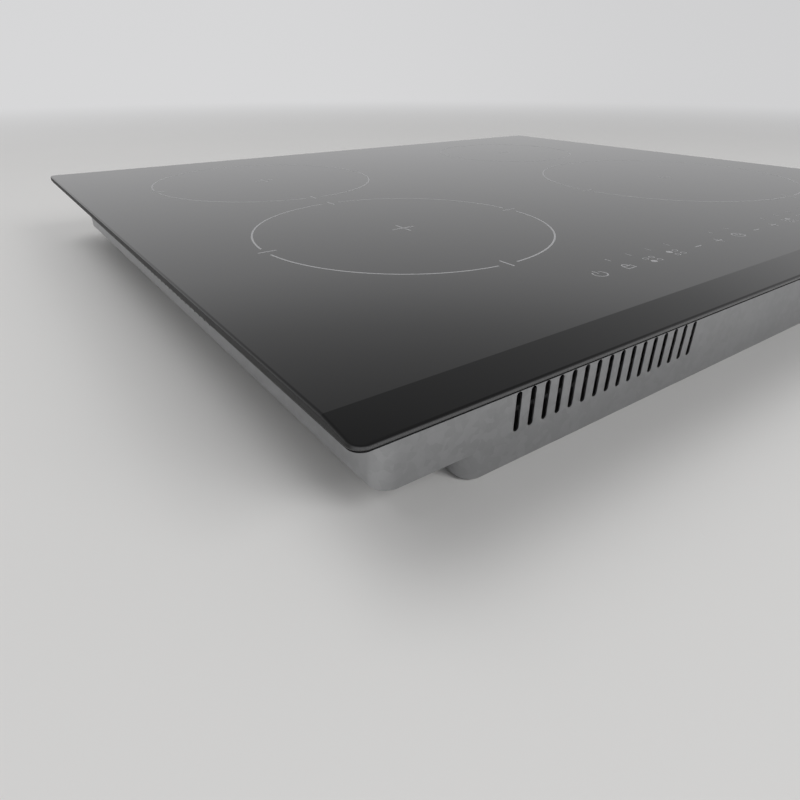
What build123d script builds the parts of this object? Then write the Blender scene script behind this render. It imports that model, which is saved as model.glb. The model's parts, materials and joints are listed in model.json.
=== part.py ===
"""A built-in electric induction cooktop: a bevelled glass-ceramic plate over a shallow sheet-steel box.

Millimetres, +Z up, +Y to the rear. The origin is on the underside of the box, below the plate's centre.
"""

import os
from math import cos, radians, sin

from build123d import *

# ---------------------------------------------------------------- driving dimensions

GLASS_W, GLASS_D, GLASS_T = 592.0, 522.0, 4.0
CORNER_R = 5.5
BEVEL_W, BEVEL_DROP = 18.5, 2.0  # the sloping strip along the front edge
EDGE_TOP_R, EDGE_UNDER_R = 1.2, 0.7  # ground edge

WORKTOP_Z = 51.0  # depth of the box below the worktop surface
SEAL_T, SEAL_W, SEAL_INSET = 0.8, 10.0, 0.7
GLASS_Z = WORKTOP_Z + SEAL_T
BOND_T, BOND_W = 0.5, 8.0
TOUCH_Z = GLASS_Z - 0.05  # what presses on the glass from below stops here

SHEET = 0.8
FRAME_W, FRAME_D, FRAME_R, FRAME_T = 552.0, 482.0, 9.0, 1.0
FLANGE_W, SKIRT_H = 20.0, 12.0
FRAME_TOP_Z = GLASS_Z - BOND_T
PAN_W, PAN_D, PAN_R, PAN_TOP_Z = 549.6, 479.6, 7.8, 49.8
TRAY_W = 470.0  # the deep middle of the pan
MARGIN_Z = 14.0  # underside of the pan's shallow side margins
BEND_R = 2.0
FLOOR_Z = SHEET
FRONT_VENT_X, REAR_VENT_X, VENT_Z, SIDE_VENT_Z = 150.0, 200.0, 25.0, 28.0
SIDE_SCREW_Z = 44.0
SIDE_SCREW_R = 1.9

CLAMP_X, CLAMP_Y = 251.0, 150.0
CLAMP_Z, CLAMP_T, CLAMP_WIDE, CLAMP_REACH = 5.0, 2.5, 14.0, 42.0
CLAW_TOP_Z = 11.0  # reaches the underside of a 40 mm worktop
CLAMP_SCREW_R = 2.5

PLATE_Z, PLATE_T = 36.0, 1.5
PLATE_INNER_X, PLATE_OUTER_X, PLATE_FRONT_Y, PLATE_REAR_Y = 7.0, 268.0, -178.0, 222.0
PLATE_TOP_Z = PLATE_Z + PLATE_T

# coil: side, centre, zone diameter, and the direction in which its leads come out
COILS = {
    "front_left": ("left", (-150.0, -80.0), 180.0, 45.0),
    "rear_left": ("left", (-150.0, 125.0), 180.0, -45.0),
    "front_right": ("right", (145.0, -65.0), 210.0, 125.0),
    "rear_right": ("right", (150.0, 140.0), 145.0, -125.0),
}
COIL_MARGIN = 5.0  # the winding is this much smaller in radius than the marked zone
COIL_RIM = 3.0  # the former and the mat reach this far past the winding
WIRE_R, WIRE_PITCH, WIRE_START_R, WIRE_SIDES = 1.5, 3.3, 22.0, 8
FORMER_T, FERRITE_T, FERRITE_W, FERRITE_START_R = 1.6, 5.0, 12.0, 28.0
FERRITE_COUNT = 8
FIRST_BAR_TURN = 180 / FERRITE_COUNT
AIR_HOLE_PLACE = 0.62  # of the winding's radius
FERRITE_Z = PLATE_TOP_Z + FORMER_T
WINDING_Z = FERRITE_Z + FERRITE_T + 0.3 + WIRE_R
MAT_Z = WINDING_Z + WIRE_R + 0.2
LEAD_SPREAD, LEAD_OUT = 16.0, 7.0
LEAD_END_Z = 14.7

OUTER_POST_X, OUTER_POST_YS = 254.0, (-110.0, 190.0)  # spring posts on the pan's margins
INNER_POST_X, INNER_POST_YS = 16.0, (-150.0, 160.0)  # spring posts on the pan's floor
SEAT_Z = 17.0  # where each spring stands on its post
POST_R, SPIGOT_R, SPIGOT_TOP_Z = 6.5, 3.2, 27.0
SPRING_R, SPRING_WIRE_R, SPRING_TURNS = 4.6, 0.5, 6

FAN_X, FAN_Y, FAN_Z, FAN_TOP_Z, FAN_WALL = 150.0, 186.0, 0.9, 29.0, 1.5
SCROLL_R, OUTLET_X, OUTLET_W, OUTLET_REACH = 40.0, -19.0, 42.0, 56.0
IMPELLER_R, BLADE_INNER_R, BLADE_COUNT = 34.0, 27.0, 28
FAN_SHAFT_R = 1.5

BOARD_X, BOARD_Y, BOARD_W, BOARD_D, BOARD_T, BOARD_Z = 125.0, 5.0, 200.0, 228.0, 1.6, 7.0
BOARD_TOP_Z = BOARD_Z + BOARD_T
PILLAR_PITCH = (BOARD_W - 16, BOARD_D / 2 - 8)
TRAY_T = 1.5
SINK_X, SINK_W, SINK_D, SINK_TOP_Z, SINK_FINS = 160.0, 60.0, 200.0, 30.0, 9

TERMINAL_Y, TERMINAL_W, TERMINAL_D, TERMINAL_TOP_Z, TERMINAL_WALL = 205.0, 95.4, 59.4, 30.0, 2.0
TERMINAL_HOLE_W, TERMINAL_HOLE_D = 96.0, 60.0
COVER_T, COVER_Z = 2.0, 0.2
COVER_PIN_R, COVER_PIN_Y, COVER_PIN_Z = 1.5, 182.2, 4.0
INLET_Z, INLET_R, INLET_SIDE, INLET_END_Y = 16.0, 6.5, 20.0, 242.0
POLES, POLE_PITCH, CONTACT_Z = 5, 12.0, 22.0

CONTROL_Y, CONTROL_W, CONTROL_D, CONTROL_Z = -209.0, 312.0, 50.0, 43.6
KEYS, KEY_PITCH = 13, 21.0
CABLE_X, CABLE_DY, CABLE_R = -60.0, 9.0, 1.8  # the control's cable


def left_right():
    """The two sides of the box, with the sign of x on each."""
    return (("left", -1), ("right", 1))


def save(part, name):
    """Write one finished piece as parts/NAME.step."""
    part.label = name
    export_step(part, f"parts/{name}.step")


# ---------------------------------------------------------------- glass plate and its support


def make_glass():
    """Plate with round corners, a bevelled front strip and a ground edge all round."""
    front, top = -GLASS_D / 2, GLASS_Z + GLASS_T
    past = 1.0
    with BuildPart() as glass:
        with BuildSketch(Plane.XY.offset(GLASS_Z)):
            RectangleRounded(GLASS_W, GLASS_D, CORNER_R)
        extrude(amount=GLASS_T)
        with BuildSketch(Plane.YZ.offset(-GLASS_W / 2 - past)):
            with BuildLine():
                Polyline(
                    (front - past, top - BEVEL_DROP * (1 + past / BEVEL_W)),
                    (front + BEVEL_W, top),
                    (front + BEVEL_W, top + past),
                    (front - past, top + past),
                    close=True,
                )
            make_face()
        extrude(amount=GLASS_W + 2 * past, mode=Mode.SUBTRACT)
        upward = glass.faces().filter_by(lambda face: face.normal_at().Z > 0.9)
        crease = upward.edges().filter_by(Axis.X).sort_by(Axis.Y)[1:-1]
        fillet([edge for edge in upward.edges() if edge not in crease], radius=EDGE_TOP_R)
        fillet(glass.faces().sort_by(Axis.Z)[0].edges(), radius=EDGE_UNDER_R)
    save(glass.part, "glass_plate")


def make_ring(name, z, thick, wide, deep, radius, width):
    """Flat rounded rectangular ring."""
    with BuildPart() as ring:
        with BuildSketch(Plane.XY.offset(z)):
            RectangleRounded(wide, deep, radius)
            RectangleRounded(wide - 2 * width, deep - 2 * width, max(radius - width, 1.0), mode=Mode.SUBTRACT)
        extrude(amount=thick)
    save(ring.part, name)


def make_seal():
    """Foam tape under the glass, which lies on the worktop."""
    wide, deep = GLASS_W - 2 * SEAL_INSET, GLASS_D - 2 * SEAL_INSET
    make_ring("worktop_seal", WORKTOP_Z, SEAL_T, wide, deep, CORNER_R - SEAL_INSET, SEAL_W)


def make_bond():
    """Silicone bead between the support frame and the glass."""
    make_ring("glass_bond", FRAME_TOP_Z, BOND_T, FRAME_W - 4, FRAME_D - 4, FRAME_R - 2, BOND_W)


def side_screw_places():
    """(centre, direction outwards) of each screw that joins the frame's skirt to the pan."""
    places = [((side * FRAME_W / 2, y), (side, 0)) for side in (-1, 1) for y in (-190, 0, 190)]
    places += [((x, side * FRAME_D / 2), (0, side)) for side in (-1, 1) for x in (-200, 200)]
    return places


def side_screw_rods(radius):
    """Rods that cut the holes for the side screws."""
    with BuildPart() as rods:
        for (x, y), (dx, dy) in side_screw_places():
            with BuildSketch(Plane(origin=(x + dx, y + dy, SIDE_SCREW_Z), z_dir=(-dx, -dy, 0))):
                Circle(radius)
            extrude(amount=5)
    return rods.part


def make_frame():
    """Steel angle ring: a flange glued under the glass and a skirt that the pan is screwed to."""
    inner_w, inner_d = FRAME_W - 2 * FRAME_T, FRAME_D - 2 * FRAME_T
    with BuildPart() as frame:
        with BuildSketch(Plane.XY.offset(FRAME_TOP_Z - SKIRT_H)):
            RectangleRounded(FRAME_W, FRAME_D, FRAME_R)
            RectangleRounded(inner_w, inner_d, FRAME_R - FRAME_T, mode=Mode.SUBTRACT)
        extrude(amount=SKIRT_H)
        with BuildSketch(Plane.XY.offset(FRAME_TOP_Z - FRAME_T)):
            RectangleRounded(FRAME_W, FRAME_D, FRAME_R)
            RectangleRounded(FRAME_W - 2 * FLANGE_W, FRAME_D - 2 * FLANGE_W, 3.0, mode=Mode.SUBTRACT)
        extrude(amount=FRAME_T)
        outer_rim = frame.faces().sort_by(Axis.Z)[-1].outer_wire().edges()
        fillet(outer_rim, radius=0.8)
        add(side_screw_rods(SIDE_SCREW_R + 0.1), mode=Mode.SUBTRACT)
    save(frame.part, "support_frame")


def make_side_screws():
    """Flanged self-tapping screws through the skirt into the pan."""
    with BuildPart() as screws:
        for (x, y), (dx, dy) in side_screw_places():
            seat = Plane(origin=(x, y, SIDE_SCREW_Z), z_dir=(dx, dy, 0))
            with BuildSketch(seat):
                Circle(4.0)
            extrude(amount=0.7)
            with BuildSketch(seat.offset(0.7)):
                RegularPolygon(3.2, 6, major_radius=True)
            extrude(amount=1.4)
            with BuildSketch(seat):
                Circle(SIDE_SCREW_R)
            extrude(amount=-7.0)
    save(screws.part, "side_screws")


# ---------------------------------------------------------------- base pan


def wall_slots(origin, along, count, length):
    """Cutter for a row of upright slots about an origin on a wall; along runs beside the wall."""
    pitch, width, reach = 8.0, 3.0, 2.5
    first = -(count - 1) / 2 * pitch
    with BuildPart() as slots:
        with BuildSketch(Plane(origin=origin, x_dir=along, z_dir=(-along[1], along[0], 0))):
            with Locations(*[(first + i * pitch, 0) for i in range(count)]):
                SlotOverall(length, width, rotation=90)
        extrude(amount=reach, both=True)
    return slots.part


def grille_slots(x, y):
    """Cutter for rings of curved slots in the pan's floor under a fan inlet."""
    slot_w, spokes, spoke_w, centre_r = 3.0, 6, 5.0, 2.0
    radii = (26.0, 20.0, 14.0, 8.0)
    with BuildPart() as slots:
        with BuildSketch(Plane((x, y, -1))):
            for radius in radii:
                Circle(radius + slot_w / 2)
                Circle(radius - slot_w / 2, mode=Mode.SUBTRACT)
            with PolarLocations((radii[0] + radii[-1]) / 2, spokes):
                Rectangle(radii[0] - radii[-1] + 2 * slot_w, spoke_w, mode=Mode.SUBTRACT)
            Circle(centre_r)
        extrude(amount=4)
    return slots.part


def bead(x, y, length, width, turn):
    """A stiffening bead with sloping sides."""
    height, slope = 1.6, 30
    with BuildPart() as ridge:
        with BuildSketch(Plane((x, y, 0))):
            SlotOverall(length, width, rotation=turn)
        extrude(amount=height, taper=slope)
    return ridge.part


def floor_beads(grow, z):
    """The pan's floor beads, grown by the sheet and set at a level."""
    width = 12 + grow
    beads = [bead(sign * 118, y, 200 + grow, width, 0) for _, sign in left_right() for y in (-205, -172)]
    beads.append(bead(0, -60, 150 + grow, width, 90))
    return [Pos(0, 0, z) * ridge for ridge in beads]


def make_pan():
    """Pressed sheet-steel pan: a deep middle, shallow side margins, vents and a hole for the terminal box."""
    rear, front = PAN_D / 2, -PAN_D / 2
    with BuildPart() as pan:
        with BuildSketch(Plane.XY.offset(MARGIN_Z)):
            RectangleRounded(PAN_W, PAN_D, PAN_R)
        extrude(amount=PAN_TOP_Z - MARGIN_Z)
        with BuildSketch():
            RectangleRounded(TRAY_W, PAN_D, PAN_R)
        extrude(amount=MARGIN_Z)
        lowest = pan.faces().sort_by(Axis.Z)[0]
        fillet(lowest.edges(), radius=BEND_R)
        with BuildSketch(Plane.XY.offset(MARGIN_Z + SHEET)):
            RectangleRounded(PAN_W - 2 * SHEET, PAN_D - 2 * SHEET, PAN_R - SHEET)
        extrude(amount=PAN_TOP_Z - MARGIN_Z, mode=Mode.SUBTRACT)
        with BuildPart(mode=Mode.PRIVATE) as deep:
            with BuildSketch(Plane.XY.offset(SHEET)):
                RectangleRounded(TRAY_W - 2 * SHEET, PAN_D - 2 * SHEET, PAN_R - SHEET)
            extrude(amount=MARGIN_Z + 1)
            fillet(deep.faces().sort_by(Axis.Z)[0].edges(), radius=BEND_R - SHEET)
        add(deep.part, mode=Mode.SUBTRACT)
        add(floor_beads(1.0, SHEET))
        add(floor_beads(0.0, 0.0), mode=Mode.SUBTRACT)
        for _, side in left_right():
            add(grille_slots(side * FAN_X, FAN_Y), mode=Mode.SUBTRACT)
            add(wall_slots((side * FRONT_VENT_X, front, VENT_Z), (1, 0), 16, 18), mode=Mode.SUBTRACT)
            add(wall_slots((side * REAR_VENT_X, rear, VENT_Z), (1, 0), 8, 18), mode=Mode.SUBTRACT)
            add(wall_slots((side * PAN_W / 2, 0, SIDE_VENT_Z), (0, 1), 20, 14), mode=Mode.SUBTRACT)
        with BuildSketch(Plane.XY.offset(-1)):
            with Locations((0, TERMINAL_Y)):
                RectangleRounded(TERMINAL_HOLE_W, TERMINAL_HOLE_D, 2)
        extrude(amount=4, mode=Mode.SUBTRACT)
        with BuildSketch(Plane.XZ.offset(-rear - 2)):
            with Locations((0, INLET_Z)):
                Rectangle(INLET_SIDE + 0.4, INLET_SIDE + 0.4)
        extrude(amount=5, mode=Mode.SUBTRACT)
        with BuildSketch(Plane.XY.offset(MARGIN_Z - 1)):
            with Locations(*clamp_places().values()):
                Circle(CLAMP_SCREW_R + 0.1)
        extrude(amount=4, mode=Mode.SUBTRACT)
        add(side_screw_rods(SIDE_SCREW_R), mode=Mode.SUBTRACT)
    save(pan.part, "base_pan")


# ---------------------------------------------------------------- hold-down clamps


def clamp_places():
    """The pivot of each clamp, by name."""
    return {
        f"{end}_{side}": (sign * CLAMP_X, far * CLAMP_Y)
        for end, far in (("front", -1), ("rear", 1))
        for side, sign in left_right()
    }


def make_clamps():
    """Swivelling arms with a collar and an upturned claw, parked along the pan."""
    collar_r, claw_t = 4.8, 3.0
    claw_x = CLAMP_REACH - CLAMP_WIDE / 2 - 2
    for name, (x, y) in clamp_places().items():
        inward = -1 if y > 0 else 1
        arm_plane = Plane(origin=(x, y, CLAMP_Z), x_dir=(0, inward, 0), z_dir=(0, 0, 1))
        with BuildPart() as clamp:
            with BuildSketch(arm_plane):
                with Locations(((CLAMP_REACH - CLAMP_WIDE / 2) / 2, 0)):
                    SlotOverall(CLAMP_REACH + CLAMP_WIDE / 2, CLAMP_WIDE)
            extrude(amount=CLAMP_T)
            with BuildSketch(arm_plane.offset(CLAMP_T)):
                with Locations((claw_x, 0)):
                    Rectangle(claw_t, CLAMP_WIDE - 2)
            extrude(amount=CLAW_TOP_Z - CLAMP_Z - CLAMP_T)
            with BuildSketch(arm_plane):
                Circle(collar_r)
            extrude(amount=MARGIN_Z - 0.1 - CLAMP_Z)
            with BuildSketch(arm_plane.offset(-1)):
                Circle(CLAMP_SCREW_R + 0.08)
            extrude(amount=MARGIN_Z - CLAMP_Z + 2, mode=Mode.SUBTRACT)
        save(clamp.part, f"clamp_{name}")


def make_clamp_fasteners():
    """The screw that each clamp turns on, and a nut above the margin."""
    head_z, head_r, socket_r, socket_h, tip_z = 1.6, 4.6, 1.9, 1.8, 24.0
    nut_r, nut_h = 4.6, 4.0
    places = clamp_places().values()
    with BuildPart() as screws:
        with BuildSketch(Plane.XY.offset(head_z)):
            with Locations(*places):
                Circle(head_r)
        extrude(amount=CLAMP_Z - head_z - 0.1)
        chamfer(screws.faces().sort_by(Axis.Z)[:4].edges(), length=0.8)
        with BuildSketch(Plane.XY.offset(head_z)):
            with Locations(*places):
                RegularPolygon(socket_r, 6)
        extrude(amount=socket_h, mode=Mode.SUBTRACT)
        with BuildSketch(Plane.XY.offset(head_z + socket_h)):
            with Locations(*places):
                Circle(CLAMP_SCREW_R)
        extrude(amount=tip_z - head_z - socket_h)
    save(screws.part, "clamp_screws")
    with BuildPart() as nuts:
        with BuildSketch(Plane.XY.offset(MARGIN_Z + SHEET)):
            with Locations(*places):
                RegularPolygon(nut_r, 6)
                Circle(CLAMP_SCREW_R + 0.05, mode=Mode.SUBTRACT)
        extrude(amount=nut_h)
    save(nuts.part, "clamp_nuts")


# ---------------------------------------------------------------- mains terminal compartment


def make_terminal_box():
    """Plastic box set in the pan's floor, open below, with a window for the mains inlet."""
    inner_w, inner_d = TERMINAL_W - 2 * TERMINAL_WALL, TERMINAL_D - 2 * TERMINAL_WALL
    flange_t, window_w, window_h = 2.0, 22.0, 8.0
    with BuildPart() as box:
        with BuildSketch(Plane.XY.offset(COVER_Z)):
            with Locations((0, TERMINAL_Y)):
                RectangleRounded(TERMINAL_W, TERMINAL_D, 2)
        extrude(amount=TERMINAL_TOP_Z - COVER_Z)
        with BuildSketch(Plane.XY.offset(FLOOR_Z + 0.1)):
            with Locations((0, TERMINAL_Y - 0.5)):
                RectangleRounded(TERMINAL_W + 14, TERMINAL_D + 7, 3)
        extrude(amount=flange_t)
        with BuildSketch(Plane.XY.offset(COVER_Z)):
            with Locations((0, TERMINAL_Y)):
                Rectangle(inner_w, inner_d)
        extrude(amount=TERMINAL_TOP_Z - COVER_Z - TERMINAL_WALL, mode=Mode.SUBTRACT)
        with BuildSketch(Plane.XZ.offset(-TERMINAL_Y - TERMINAL_D / 2 - 1)):
            with Locations((0, INLET_Z)):
                Rectangle(INLET_SIDE + 0.4, INLET_SIDE + 0.4)
        extrude(amount=TERMINAL_WALL + 2, mode=Mode.SUBTRACT)
        with BuildSketch(Plane.XZ.offset(-TERMINAL_Y + TERMINAL_D / 2 + 1)):
            with Locations((0, CONTACT_Z)):
                Rectangle(window_w, window_h)
        extrude(amount=-TERMINAL_WALL - 2, mode=Mode.SUBTRACT)
        with BuildSketch(Plane.YZ.offset(-TERMINAL_W / 2 - 1)):
            with Locations((COVER_PIN_Y, COVER_PIN_Z)):
                Circle(COVER_PIN_R)
        extrude(amount=TERMINAL_W + 2, mode=Mode.SUBTRACT)
    save(box.part, "terminal_box")


def make_terminal_cover():
    """Hinged lid with grooves below, two knuckles and two snap hooks, and its hinge pin."""
    rear = TERMINAL_Y + TERMINAL_D / 2 - TERMINAL_WALL - 0.4
    front = COVER_PIN_Y - 1.0
    knuckle_x, knuckle_r, knuckle_w = 24.0, 2.9, 12.0
    hook_x, hook_w, hook_t, hook_h = 30.0, 10.0, 1.6, 6.0
    groove_depth = 0.8
    width = TERMINAL_W - 2 * TERMINAL_WALL - 0.8
    with BuildPart() as cover:
        with BuildSketch(Plane.XY.offset(COVER_Z)):
            with Locations((0, (front + rear) / 2)):
                RectangleRounded(width, rear - front, 1.2)
        extrude(amount=COVER_T)
        for x in (-knuckle_x, knuckle_x):
            with BuildSketch(Plane.YZ.offset(x - knuckle_w / 2)):
                with Locations((COVER_PIN_Y, COVER_PIN_Z)):
                    Circle(knuckle_r)
                    Circle(COVER_PIN_R + 0.06, mode=Mode.SUBTRACT)
            extrude(amount=knuckle_w)
        with BuildSketch(Plane.XY.offset(COVER_Z)):
            with Locations((-knuckle_x, COVER_PIN_Y), (knuckle_x, COVER_PIN_Y)):
                Rectangle(knuckle_w, 2)
        extrude(amount=COVER_T)
        with BuildSketch(Plane.XY.offset(COVER_Z + COVER_T)):
            with Locations((-hook_x, rear - 1.8), (hook_x, rear - 1.8)):
                Rectangle(hook_w, hook_t)
        extrude(amount=hook_h)
        with BuildSketch(Plane.XY.offset(COVER_Z)):
            with Locations(*[(x, TERMINAL_Y + 4) for x in range(-30, 31, 10)]):
                SlotOverall(26, 2, rotation=90)
        extrude(amount=groove_depth, mode=Mode.SUBTRACT)
    save(cover.part, "terminal_cover")
    with BuildPart() as pin:
        with BuildSketch(Plane.YZ.offset(-TERMINAL_W / 2)):
            with Locations((COVER_PIN_Y, COVER_PIN_Z)):
                Circle(COVER_PIN_R)
        extrude(amount=TERMINAL_W)
    save(pin.part, "cover_hinge_pin")


def pole_places():
    """x of each terminal pole."""
    return [(i - (POLES - 1) / 2) * POLE_PITCH for i in range(POLES)]


def make_terminal_block():
    """Five-pole screw terminal that hangs from the roof of the terminal box."""
    block_z, roof_z, depth = 16.0, TERMINAL_TOP_Z - TERMINAL_WALL, 18.0
    contact_r, screw_r, screw_dy = 3.0, 1.6, 5.0
    screw_places = [(x, TERMINAL_Y + dy) for x in pole_places() for dy in (-screw_dy, screw_dy)]
    with BuildPart() as block:
        with BuildSketch(Plane.XY.offset(block_z)):
            with Locations((0, TERMINAL_Y)):
                RectangleRounded(POLES * POLE_PITCH + 4, depth, 1.5)
        extrude(amount=roof_z - block_z)
        with BuildSketch(Plane.XY.offset(block_z)):
            with Locations(*[(x + POLE_PITCH / 2, TERMINAL_Y) for x in pole_places()[:-1]]):
                Rectangle(2, depth + 2)
        extrude(amount=3, mode=Mode.SUBTRACT)
        with BuildSketch(Plane.XZ.offset(-TERMINAL_Y - depth)):
            with Locations(*[(x, CONTACT_Z) for x in pole_places()]):
                Circle(contact_r + 0.05)
        extrude(amount=2 * depth, mode=Mode.SUBTRACT)
        with BuildSketch(Plane.XY.offset(block_z - 1)):
            with Locations(*screw_places):
                Circle(screw_r + 0.6)
        extrude(amount=CONTACT_Z - block_z, mode=Mode.SUBTRACT)
    save(block.part, "terminal_block")
    with BuildPart() as contacts:
        with BuildSketch(Plane.XZ.offset(-TERMINAL_Y - depth / 2 + 1)):
            with Locations(*[(x, CONTACT_Z) for x in pole_places()]):
                Circle(contact_r)
                Circle(contact_r - 1, mode=Mode.SUBTRACT)
        extrude(amount=depth - 2)
        with BuildSketch(Plane.XY.offset(block_z)):
            with Locations(*screw_places):
                Circle(screw_r)
        extrude(amount=CONTACT_Z - contact_r - block_z + 2.4)
    save(contacts.part, "terminal_contacts")


def make_inlet():
    """Square rubber inlet for the mains cable, gripped by the terminal box and the pan."""
    box_inner = TERMINAL_Y + TERMINAL_D / 2 - TERMINAL_WALL
    lip, flange = 1.6, 2.0
    start = box_inner - lip - 0.1
    with BuildPart() as inlet:
        for y, side, length in (
            (start, INLET_SIDE + 3, lip),
            (start, INLET_SIDE, INLET_END_Y - start),
            (INLET_END_Y - flange, INLET_SIDE + 4, flange),
        ):
            with BuildSketch(Plane.XZ.offset(-y)):
                with Locations((0, INLET_Z)):
                    RectangleRounded(side, side, 1.5)
            extrude(amount=-length)
        with BuildSketch(Plane.XZ.offset(-start + 1)):
            with Locations((0, INLET_Z)):
                Circle(INLET_R)
        extrude(amount=-(INLET_END_Y - start + 2), mode=Mode.SUBTRACT)
    save(inlet.part, "cable_inlet")


# ---------------------------------------------------------------- fans


def scroll_outline(grow):
    """Plan of the blower's scroll with its outlet towards the front, grown by a wall."""
    Circle(SCROLL_R + grow)
    with Locations((OUTLET_X, -OUTLET_REACH / 2)):
        Rectangle(OUTLET_W + 2 * grow, OUTLET_REACH)


def make_fans():
    """Two radial blowers: scroll housing, motor with shaft, and a bladed rotor."""
    floor_z = FAN_Z + FAN_WALL
    inner_h = FAN_TOP_Z - FAN_Z - 2 * FAN_WALL
    motor_z, motor_r = 19.5, 12.5
    cup_z, cup_r, cup_t, boss_r = 14.0, 15.0, 1.2, 3.5
    back_z, back_t, shroud_z = 22.0, 1.2, 3.6
    blade_w, blade_t, blade_turn = 7.0, 0.9, 35.0
    with BuildPart() as motors:
        for _, sign in left_right():
            centre = (sign * FAN_X, FAN_Y)
            with BuildSketch(Plane.XY.offset(motor_z)):
                with Locations(centre):
                    Circle(motor_r)
            extrude(amount=FAN_TOP_Z - FAN_WALL - motor_z)
            with BuildSketch(Plane.XY.offset(cup_z + cup_t + 0.2)):
                with Locations(centre):
                    Circle(FAN_SHAFT_R)
            extrude(amount=motor_z - cup_z - cup_t - 0.2)
    save(motors.part, "fan_motors")
    for side, sign in left_right():
        centre = (sign * FAN_X, FAN_Y)
        with BuildPart() as housing:
            with BuildSketch(Plane.XY.offset(FAN_Z)):
                with Locations(centre):
                    scroll_outline(FAN_WALL)
            extrude(amount=FAN_TOP_Z - FAN_Z)
            with BuildSketch(Plane.XY.offset(floor_z)):
                with Locations(centre):
                    scroll_outline(0)
            extrude(amount=inner_h, mode=Mode.SUBTRACT)
            with BuildSketch(Plane.XY.offset(floor_z)):
                with Locations((centre[0] + OUTLET_X, centre[1] - OUTLET_REACH)):
                    Rectangle(OUTLET_W, 8)
            extrude(amount=inner_h, mode=Mode.SUBTRACT)
            with BuildSketch(Plane.XY.offset(FAN_Z - 1)):
                with Locations(centre):
                    Circle(BLADE_INNER_R + 0.5)
            extrude(amount=FAN_WALL + 2, mode=Mode.SUBTRACT)
        save(housing.part, f"fan_housing_{side}")
        with BuildPart() as rotor:
            with BuildSketch(Plane.XY.offset(cup_z)):
                with Locations(centre):
                    Circle(cup_r)
            extrude(amount=back_z + back_t - cup_z)
            fillet(rotor.edges().group_by(Axis.Z)[0], radius=1.5)
            with BuildSketch(Plane.XY.offset(back_z)):
                with Locations(centre):
                    Circle(IMPELLER_R)
            extrude(amount=back_t)
            with BuildSketch(Plane.XY.offset(cup_z + cup_t)):
                with Locations(centre):
                    Circle(cup_r - 1.4)
                    Circle(boss_r, mode=Mode.SUBTRACT)
            extrude(amount=back_z - cup_z, mode=Mode.SUBTRACT)
            with BuildSketch(Plane.XY.offset(motor_z - 0.4)):
                with Locations(centre):
                    Circle(boss_r + 0.5)
            extrude(amount=back_z - motor_z + back_t + 1, mode=Mode.SUBTRACT)
            with BuildSketch(Plane.XY.offset(cup_z + cup_t)):
                with Locations(centre):
                    Circle(FAN_SHAFT_R + 0.05)
            extrude(amount=motor_z - cup_z, mode=Mode.SUBTRACT)
            with BuildSketch(Plane.XY.offset(shroud_z)):
                with Locations(centre):
                    Circle(IMPELLER_R)
                    Circle(BLADE_INNER_R, mode=Mode.SUBTRACT)
            extrude(amount=1)
            with BuildSketch(Plane.XY.offset(shroud_z)):
                with Locations(centre):
                    with PolarLocations((IMPELLER_R + BLADE_INNER_R) / 2, BLADE_COUNT):
                        Rectangle(blade_w, blade_t, rotation=blade_turn)
            extrude(amount=back_z + 0.5 - shroud_z)
        save(rotor.part, f"fan_rotor_{side}")


# ---------------------------------------------------------------- power electronics


def make_board_trays():
    """Insulating trays with pillars that hold the two power boards."""
    margin, pillar_r = 3.0, 4.0
    with BuildPart() as trays:
        for _, sign in left_right():
            centre = (sign * BOARD_X, BOARD_Y)
            with BuildSketch(Plane.XY.offset(FLOOR_Z + 0.1)):
                with Locations(centre):
                    RectangleRounded(BOARD_W + 2 * margin, BOARD_D + 2 * margin, 3)
            extrude(amount=TRAY_T)
            with BuildSketch(Plane.XY.offset(FLOOR_Z + 0.1 + TRAY_T)):
                with Locations(centre):
                    RectangleRounded(BOARD_W + 2 * margin, BOARD_D + 2 * margin, 3)
                    RectangleRounded(BOARD_W + margin, BOARD_D + margin, 2, mode=Mode.SUBTRACT)
                    with GridLocations(*PILLAR_PITCH, 2, 3):
                        Circle(pillar_r)
            extrude(amount=BOARD_Z - FLOOR_Z - 0.1 - TRAY_T)
    save(trays.part, "board_trays")


def make_power_boards():
    """Power circuit boards, with fixing holes over the tray's pillars."""
    hole_r = 1.6
    with BuildPart() as boards:
        for _, sign in left_right():
            with BuildSketch(Plane.XY.offset(BOARD_Z)):
                with Locations((sign * BOARD_X, BOARD_Y)):
                    RectangleRounded(BOARD_W, BOARD_D, 3)
                    with GridLocations(*PILLAR_PITCH, 2, 3):
                        Circle(hole_r, mode=Mode.SUBTRACT)
            extrude(amount=BOARD_T)
    save(boards.part, "power_boards")


def make_heat_sinks():
    """Finned aluminium extrusions in the air stream of each fan."""
    base_t, fin_t = 4.0, 1.5
    for side, sign in left_right():
        centre = (sign * SINK_X, BOARD_Y)
        with BuildPart() as sink:
            with BuildSketch(Plane.XY.offset(BOARD_TOP_Z + 0.1)):
                with Locations(centre):
                    Rectangle(SINK_W, SINK_D)
            extrude(amount=base_t)
            with BuildSketch(Plane.XY.offset(BOARD_TOP_Z + 0.1)):
                with Locations(centre):
                    with GridLocations((SINK_W - fin_t) / (SINK_FINS - 1), 0, SINK_FINS, 1):
                        Rectangle(fin_t, SINK_D)
            extrude(amount=SINK_TOP_Z - BOARD_TOP_Z - 0.1)
        save(sink.part, f"heat_sink_{side}")


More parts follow.
